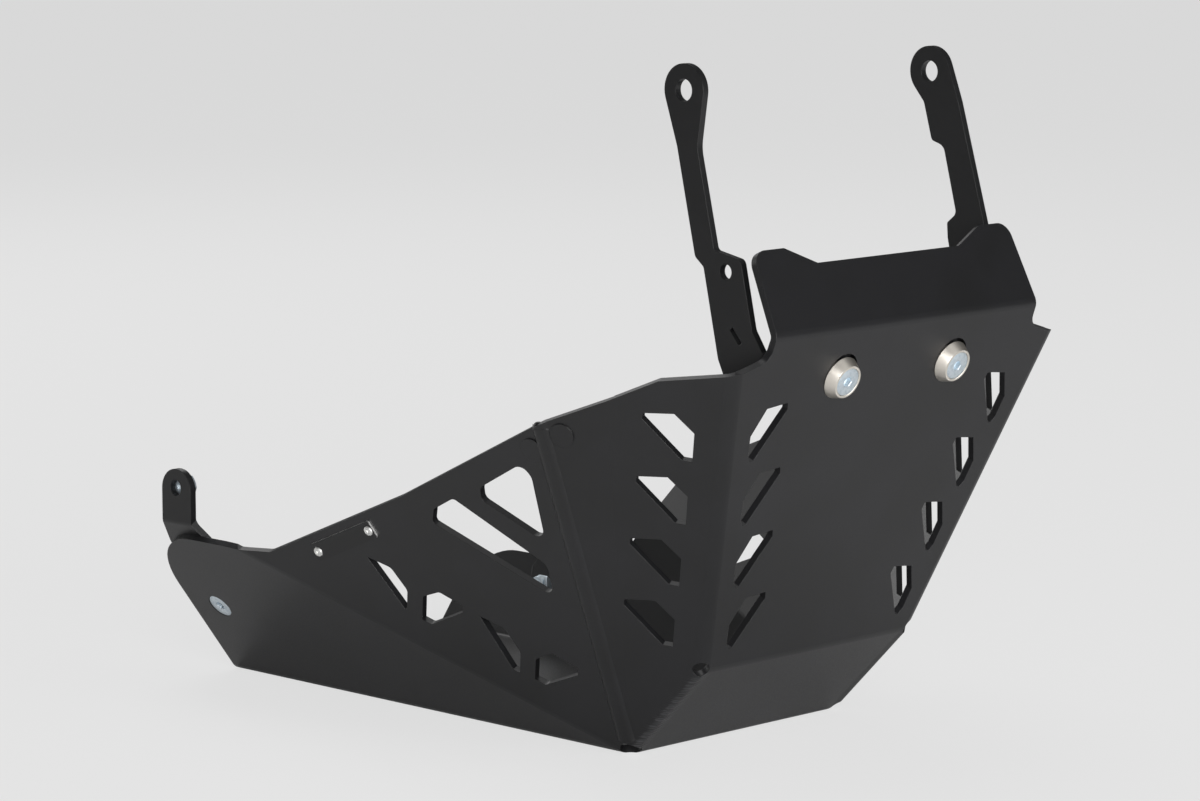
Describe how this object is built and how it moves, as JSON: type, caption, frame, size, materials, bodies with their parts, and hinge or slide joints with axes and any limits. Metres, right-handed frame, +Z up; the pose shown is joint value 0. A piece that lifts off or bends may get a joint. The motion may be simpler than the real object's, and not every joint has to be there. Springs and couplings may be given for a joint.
{
  "type": "motorcycle skid plate",
  "caption": "Folded and welded sheet-metal skid plate for a motorcycle, open at the top and rear, with angular cut-outs, front hanger arms and rear mounting tabs.",
  "frame": {"origin": "centre of the floor panel's underside", "axes": "+Z up, -Y towards the motorcycle's front wheel, -X towards its right side"},
  "size_m": [0.3256, 0.4608, 0.3862],
  "materials": {
    "powder_coat": "satin",
    "arm_coat": "satin",
    "zinc": "satin",
    "bare_aluminium": "satin",
    "black_anodised": "satin"
  },
  "bodies": {
    "root": {"skid_plate": "powder_coat", "right_front_arm": "arm_coat", "left_front_arm": "arm_coat", "right_front_bush": "zinc", "left_front_bush": "zinc", "right_front_screw": "zinc", "left_front_screw": "zinc", "right_front_nut": "zinc", "left_front_nut": "zinc", "right_rear_bracket": "arm_coat", "right_tab_nut": "zinc", "right_rear_screw": "zinc", "right_rear_nut": "zinc", "left_rear_bracket": "arm_coat", "left_tab_nut": "zinc", "left_rear_screw": "zinc", "left_rear_nut": "zinc", "badge_plate": "black_anodised", "badge_rivet_front": "bare_aluminium", "badge_rivet_rear": "bare_aluminium"}
  },
  "joints": []
}
